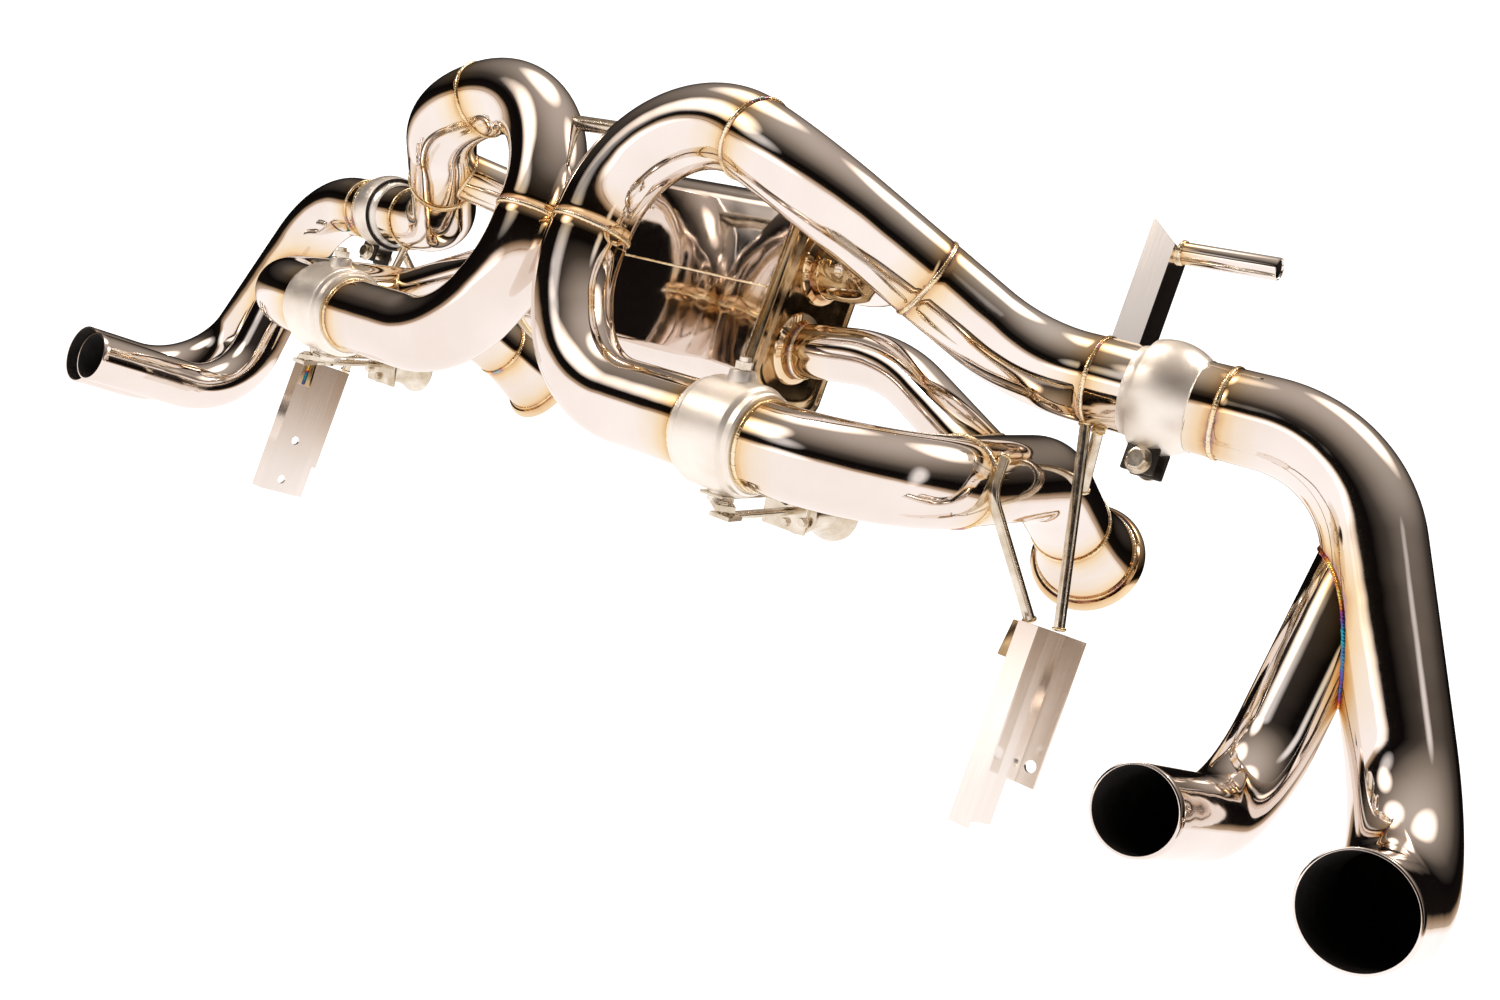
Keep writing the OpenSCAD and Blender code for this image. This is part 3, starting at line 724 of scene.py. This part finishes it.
def muffler_end(side):
    """Folded seam round the end of the shell, stitched, with a pressed plate inside it."""
    sg = SIDES[side]
    e = MUF_END / MM
    prof = [(e - 8, 0.2), (e - 8, 1.5), (e - 7.4, 2.0), (e + 1.2, 2.0), (e + 1.9, 1.3), (e + 2, 0.2),
            (e + 1.6, -0.8), (e - 0.5, -1.6), (e - 1.0, -3.0), (e - 1.0, -9.0), (e + 0.6, -11.0),
            (e + 0.6, -15.0), (e - 1.0, -17.0), (e - 1.0, -34.0)]
    rows = [muffler_row(sg * x * MM, g * MM) for x, g in prof]
    n = len(rows[0])
    centre = rows[-1].mean(0)
    verts = np.concatenate(rows + [centre[None, :]])
    faces = quads(len(rows), n)
    last = (len(rows) - 1) * n
    faces += [(last + j, last + (j + 1) % n, len(verts) - 1) for j in range(n)]
    ob = make(f"{side}_muffler_cap_look", verts, faces, [PLATE], None, None, 50)
    tidy_normals(ob, 50)
    stand_for(ob, "system", "polished", f"{side}_muffler_cap")
    ob = bead(f"{side}_muffler_stitch", muffler_row(sg * (MUF_END - 8.6 * MM), 0.4 * MM), [WELD],
              width=1.2, height=1.1, pitch=5.5)
    stand_for(ob, "system", "weld")
    r = BYPASS / MM
    flare = [(-1.2, 0.2), (-1.2, 7.2), (-0.2, 7.6), (1.0, 6.8), (3.0, 2.6), (6.0, 1.6), (9.0, 1.4),
             (9.4, 0.9), (9.4, 0.2)]
    for k, start in {"feed": FEED_0, "outlet": OUTLET_0}.items():
        prof = [(z, r + grow) for z, grow in flare]
        ob = lathe(f"{side}_muffler_collar_{k}", prof, flip(side, start), flip(side, PLUS_X), [POLISHED],
                   smooth=24)
        stand_for(ob, "system", "polished")


def valve_place(side, x, y, z):
    """A point given in the leaning frame of the valve shaft, in millimetres."""
    c, s = math.cos(LEAN), math.sin(LEAN)
    return flip(side, VALVE + p3(x, y * c - z * s, y * s + z * c))


CAN_X, CAN_Y, ROD_Z, PLATE_Z = 17.7, 66.0, -51.5, -42.5     # actuator, in the valve's frame, in mm


def block(name, corners, mats, bevel=0.8):
    """A plate given by its eight corner points, with rounded edges."""
    faces = [(0, 1, 2, 3), (4, 5, 6, 7), (0, 1, 5, 4), (1, 2, 6, 5), (2, 3, 7, 6), (3, 0, 4, 7)]
    bm = bmesh.new()
    vs = [bm.verts.new(c) for c in corners]
    for f in faces:
        bm.faces.new([vs[i] for i in f])
    bmesh.ops.recalc_face_normals(bm, faces=bm.faces)
    bmesh.ops.bevel(bm, geom=list(bm.edges), offset=bevel * MM, segments=3, affect="EDGES", profile=0.5)
    me = bpy.data.meshes.new(name)
    bm.to_mesh(me)
    bm.free()
    for m in mats:
        me.materials.append(m)
    me.polygons.foreach_set("use_smooth", [True] * len(me.polygons))
    me.set_sharp_from_angle(angle=math.radians(35))
    ob = bpy.data.objects.new(name, me)
    bpy.context.scene.collection.objects.link(ob)
    return ob


def valve_plate(side, name, lo, hi):
    """A plate along the axes of the valve frame, from corner lo to corner hi, in millimetres."""
    (x0, y0, z0), (x1, y1, z1) = lo, hi
    pts = [(x0, y0, z0), (x1, y0, z0), (x1, y1, z0), (x0, y1, z0)]
    pts += [(x, y, z1) for x, y, _ in pts]
    return block(name, [valve_place(side, *p) for p in pts], [BRIGHT])


def actuator(side):
    """Pressed can with a bolted front disc and a flared back, on a folded bracket."""
    base = valve_place(side, CAN_X, CAN_Y, ROD_Z)
    d = unit(valve_place(side, CAN_X, CAN_Y + 10, ROD_Z) - base)
    disc = [(0, 3.4), (0, 16.6), (0.8, 17.4), (3.6, 17.4), (4.4, 16.8), (4.6, 14)]
    body = [(6, 15.2), (22, 16.6), (28, 18.0), (34, 20.6), (38, 23.2), (39.5, 24.6), (41, 25),
            (43.2, 25), (44.4, 24.2), (45, 22.6), (47, 20), (50, 12), (51.6, 3.4)]
    ob = lathe(f"{side}_actuator_look", disc + body, base, d, [BRIGHT], smooth=24)
    stand_for(ob, "system", "cast", f"{side}_actuator")
    arm = (-11, -11, PLATE_Z), (11, CAN_Y, PLATE_Z + 2.5)
    lug = (-11, CAN_Y - 3, PLATE_Z - 25), (29, CAN_Y, PLATE_Z + 2.4)
    stand_for(valve_plate(side, f"{side}_actuator_arm", *arm), "system", "cast")
    stand_for(valve_plate(side, f"{side}_actuator_lug", *lug), "system", "cast")
    for k, (dx, dz) in enumerate(((-9.5, 6), (6, 10), (9.5, -6), (-6, -10))):
        c = valve_place(side, CAN_X + dx, CAN_Y - 3, ROD_Z + dz)
        mat = BLACK if k < 2 else BRIGHT
        hexagon(f"{side}_actuator_bolt_{k}", c, -d, 3.4, 3.2, [mat], "system")


def hexagon(name, c, axis, r, h, mats, body):
    """Hex head with a chamfered crown and a washer under it. r is half its width across corners."""
    a, b = frames([(c, axis)])[0]
    seg, rows = 24, []
    for z, k in ((0.0, 0.93), (0.25, 1.0), (h * 0.78, 1.0), (h, 0.86)):
        row = []
        for i in range(seg):
            w = 2 * math.pi * i / seg
            flat = math.cos(math.pi / 6) / math.cos((w % (math.pi / 3)) - math.pi / 6)
            row.append(c + axis * z * MM + (a * math.cos(w) + b * math.sin(w)) * r * MM * k
                       * (flat if z < h * 0.9 else 0.92))
        rows.append(np.array(row))
    verts = np.concatenate(rows + [rows[-1].mean(0)[None, :]])
    top = (len(rows) - 1) * seg
    faces = quads(len(rows), seg) + [(top + j, top + (j + 1) % seg, top + seg) for j in range(seg)]
    ob = make(name, verts, faces, mats, None, None, 20)
    tidy_normals(ob, 20)
    stand_for(ob, body, "fittings")
    prof = [(-0.9, 0.5), (-0.9, r * 1.25), (-0.2, r * 1.32), (0.05, r * 1.25), (0.05, 0.5)]
    ob = lathe(name + "_washer", prof, c, axis, mats, seg=40)
    stand_for(ob, body, "fittings")


def clamp(side):
    """Two lugs under the ball socket, pulled together by a bolt."""
    def place(x, y, z):
        return flip(side, BALL + p3(x, y, z))

    for k, s in (("front", -1), ("back", 1)):
        y0, y1 = sorted((s * 9 - 2, s * 9 + 2))
        pts = [(-10, y0, -56), (14, y0, -56), (14, y0, -36.5), (-10, y0, -36.5)]
        pts += [(x, y1, z) for x, _, z in pts]
        ob = block(f"{side}_clamp_lug_{k}", [place(*p) for p in pts], [BLACK], 1.2)
        stand_for(ob, f"{side}_tail", "seal", *([f"{side}_clamp_lugs"] if k == "front" else []))
    d = np.array([0, -1.0, 0])
    prof = [(-16, 0.4), (-16, 3.4), (-15.2, 3.95)]
    prof += [(z, 3.95 - 0.35 * (int(z * 2) % 2)) for z in np.arange(-15, -11, 0.5)]
    prof += [(-11, 3.95), (11.4, 3.95), (11.4, 0.4)]
    ob = lathe(f"{side}_clamp_bolt_look", prof, place(2, 0, -48), d, [BRIGHT], seg=32)
    stand_for(ob, f"{side}_tail", "fittings", f"{side}_clamp_bolt")
    hexagon(f"{side}_clamp_head", place(2, -11.6, -48), d, 7.4, 5.8, [BRIGHT], f"{side}_tail")
    hexagon(f"{side}_clamp_nut", place(2, 11.6, -48), -d, 7.4, 5.8, [BRIGHT], f"{side}_tail")


def hanger_pin(side):
    """Tubular hanger pin with a rounded mouth."""
    c = flip(side, p3(419.2, 19, 108))
    d = flip(side, PLUS_X)
    prof = [(0, 0.4), (0, 8), (70.4, 8), (71.6, 7.7), (72, 7.1), (71.6, 6.5), (70.6, 6.0), (4, 6.0),
            (4, 0.4)]
    # the pin's bore gets the near-black painted shade
    ob = lathe(f"{side}_hanger_pin_look", prof, c, d, [POLISHED, BORE_SHADE], seg=64,
               face_mat=[0, 0, 0, 0, 0, 0, 1, 1, 0])
    stand_for(ob, "system", "satin", f"{side}_hanger_pin")


def bar(name, corners, radii, r, mats):
    """A bent round bar with softened ends."""
    path, seg = route(corners, radii, 0.004, 4), 32
    fr = frames(path)
    rows = [circle_row(p, a, b, r, seg) for (p, _), (a, b) in zip(path, fr)]
    for k, i in ((0, 0), (len(rows) + 1, -1)):
        cen = rows[i].mean(0)
        rows.insert(k, cen + (rows[i] - cen) * 0.86 + path[i][1] * (0.4 * MM) * (1 if k else -1))
    verts = np.concatenate(rows + [rows[0].mean(0)[None, :], rows[-1].mean(0)[None, :]])
    n = len(rows)
    last = (n - 1) * seg
    faces = quads(n, seg) + [((j + 1) % seg, j, n * seg) for j in range(seg)]
    faces += [(last + j, last + (j + 1) % seg, n * seg + 1) for j in range(seg)]
    return make(name, verts, faces, mats, None, None, 40)


def struts(side):
    """Two bars that carry the bracket and one that braces the pipes, each welded at both ends."""
    foot = -176.6        # just above the bracket
    plan = {"rear": ([(404, -4, -31), (436, 0, foot)], []),
            "front": ([(396, -84, -79), (404, -98, -106), (433, -42, foot)], [16]),
            "inner": ([(414, -2, -33), (399, 39, -74)], [])}
    for k, (pts, radii) in plan.items():
        corners = flip(side, *[p3(*p) for p in pts])
        ob = bar(f"{side}_strut_{k}", corners, [r * MM for r in radii], 4 * MM, [BRIGHT])
        stand_for(ob, "system", "satin", *([f"{side}_struts"] if k == "rear" else []))
        for tag, i, j in (("foot", -1, -2), ("head", 0, 1)):
            d = unit(corners[i] - corners[j])
            ring = ring_curve(corners[i] - d * 1.2 * MM, d, 4.3 * MM, 60)
            ob = bead(f"{side}_strut_{k}_{tag}", ring, [WELD], 1.1, 0.9)
            stand_for(ob, "system", "weld")


def strut_tab(side):
    """Small heat-browned tab that ties the foot of the front strut to the bracket, with its weld."""
    pts = [(420.5, -47, -205), (430.8, -47, -205), (430.8, -47, -179), (423.5, -47, -179)]
    pts += [(x, -43.8, z) for x, _, z in pts]
    ob = block(f"{side}_strut_tab", [flip(side, p3(*p)) for p in pts], [PLATE], 0.7)
    stand_for(ob, "system", "satin")
    edge = [(430.6, -47.2, z) for z in np.linspace(-204, -180, 30)]
    edge += [(430.2, -47.5, z) for z in np.linspace(-180, -204, 30)]
    ob = bead(f"{side}_strut_tab_weld", flip(side, *[p3(*p) for p in edge]), [HOT_WELD], 0.9, 0.8)
    stand_for(ob, "system", "weld")


muffler()
for s in SIDES:
    tubes(s)
    welds(s)
    inlet(s)
    ball_joint(s)
    valve_body(s)
    muffler_end(s)
    actuator(s)
    clamp(s)
    hanger_pin(s)
    struts(s)
    strut_tab(s)
    for part, material in CARRIED.items():
        dress(f"{s}_{part}", material)
dress("tie_rod", BRIGHT)

# ---------- studio ----------


def panel(name, centre, size, facing, stops, strength, glossy=True, camera=False, see_through=False):
    """A flat lit sheet facing a point. The stops give its colour against the distance from its middle."""
    me = bpy.data.meshes.new(name)
    me.from_pydata([(-1, -1, 0), (1, -1, 0), (1, 1, 0), (-1, 1, 0)], [], [(0, 1, 2, 3)])
    ob = bpy.data.objects.new(name, me)
    bpy.context.scene.collection.objects.link(ob)
    ob.location, ob.scale = centre, (size[0] / 2, size[1] / 2, 1)
    ob.rotation_euler = (Vector(facing) - Vector(centre)).to_track_quat("Z", "Y").to_euler()
    m = bpy.data.materials.new(name)
    m.use_nodes = True
    nt = m.node_tree
    nt.nodes.clear()
    em, out = nt.nodes.new("ShaderNodeEmission"), nt.nodes.new("ShaderNodeOutputMaterial")
    co, far = nt.nodes.new("ShaderNodeTexCoord"), nt.nodes.new("ShaderNodeVectorMath")
    far.operation = "LENGTH"
    nt.links.new(co.outputs["Object"], far.inputs[0])
    nt.links.new(ramp(nt, far.outputs["Value"], stops), em.inputs["Color"])
    em.inputs["Strength"].default_value = strength
    light = em.outputs[0]
    if see_through:
        clear, both = nt.nodes.new("ShaderNodeBsdfTransparent"), nt.nodes.new("ShaderNodeAddShader")
        nt.links.new(light, both.inputs[0])
        nt.links.new(clear.outputs[0], both.inputs[1])
        light = both.outputs[0]
    nt.links.new(light, out.inputs["Surface"])
    me.materials.append(m)
    ob.visible_camera, ob.visible_glossy = camera, glossy
    return ob


def backdrop(mat):
    """White dome round the set, which only the camera sees."""
    bm = bmesh.new()
    bmesh.ops.create_icosphere(bm, subdivisions=4, radius=18)
    me = bpy.data.meshes.new("backdrop")
    bm.to_mesh(me)
    bm.free()
    me.materials.append(mat)
    ob = bpy.data.objects.new("backdrop", me)
    bpy.context.scene.collection.objects.link(ob)
    ob.visible_glossy = False
    return ob


def lamp(name, centre, size, strength):
    """A compact lamp with a wide soft halo round it."""
    halo = [(0.0, (1, 0.96, 0.90)), (0.10, (1, 0.95, 0.88)), (0.14, (0.10, 0.09, 0.08)),
            (0.45, (0.035, 0.030, 0.026)), (0.95, (0, 0, 0))]
    panel(name, centre, (size, size), (0.15, -0.1, 0), halo, strength, see_through=True)


def studio():
    """White floor and backdrop, a few soft lights, and a room that is dark just above the horizon."""
    white = [(0, (1, 1, 1)), (1, (1, 1, 1))]
    pink = (1.0, 0.95, 0.935)
    pool = [(0.0, pink), (0.45, pink), (0.8, (0.80, 0.66, 0.56)), (1.0, (0.38, 0.26, 0.18))]
    floor = panel("floor", (0, 0, -0.55), (14, 14), (0, 0, 5), pool, 1.13)
    seen = panel("floor_seen", (0, 0, -0.56), (40, 40), (0, 0, 5), white, 1.4, glossy=False, camera=True)
    back = backdrop(seen.data.materials[0])
    for ob in (floor, seen, back):
        ob.visible_shadow = False
    seen.visible_diffuse = back.visible_diffuse = False
    lamp("lamp_front", (-1.16, -1.77, 1.17), 1.7, 55)
    lamp("lamp_left", (-0.67, -0.17, 2.02), 1.7, 55)
    lamp("lamp_right", (0.97, 0.65, 1.99), 1.7, 55)
    card = [(0.0, pink), (0.35, pink), (0.98, (0, 0, 0))]
    panel("front_card", (-0.55, -3.0, -0.35), (3.0, 0.8), (0.3, 0, -0.3), card, 0.9, see_through=True)
    panel("high_card", (-0.95, -2.8, 0.85), (2.4, 1.2), (0.4, 0, 0), card, 0.7, see_through=True)
    panel("right_card", (3.0, -0.7, 0.6), (0.9, 2.6), (0.5, 0, -0.1), card, 0.9, see_through=True)
    w = bpy.data.worlds.new("studio")
    bpy.context.scene.world = w
    w.use_nodes = True
    nt = w.node_tree
    co, sep = nt.nodes.new("ShaderNodeTexCoord"), nt.nodes.new("ShaderNodeSeparateXYZ")
    nt.links.new(co.outputs["Generated"], sep.inputs[0])
    h = maths(nt, "MULTIPLY_ADD", sep.outputs["Z"], 0.5, 0.5)
    col = ramp(nt, h, [(0.0, (1.0, 0.93, 0.90)), (0.44, (0.9, 0.76, 0.66)), (0.496, (0.36, 0.24, 0.15)),
                       (0.520, (0.008, 0.006, 0.005)), (0.62, (0.004, 0.003, 0.003)),
                       (0.72, (0.06, 0.048, 0.040)), (0.84, (0.26, 0.215, 0.18)), (1.0, (0.55, 0.48, 0.43))])
    nt.links.new(col, nt.nodes["Background"].inputs["Color"])
    nt.nodes["Background"].inputs["Strength"].default_value = 1.0


def camera():
    """Camera at the photo's view."""
    right, up = Vector((0.745, 0.576, 0.337)), Vector((-0.263, -0.210, 0.942))
    up = (up - right * up.dot(right) / right.dot(right)).normalized()
    right.normalize()
    cam = bpy.data.objects.new("camera", bpy.data.cameras.new("camera"))
    bpy.context.scene.collection.objects.link(cam)
    cam.matrix_world = Matrix.Translation((0.8633, -0.9318, -0.1681)) @ Matrix(
        (right, up, right.cross(up))).transposed().to_4x4()
    cam.data.lens, cam.data.sensor_width = 34.33, 36
    cam.data.clip_start, cam.data.clip_end = 0.02, 100
    bpy.context.scene.camera = cam


studio()
camera()
bpy.context.scene.view_settings.view_transform = "Standard"
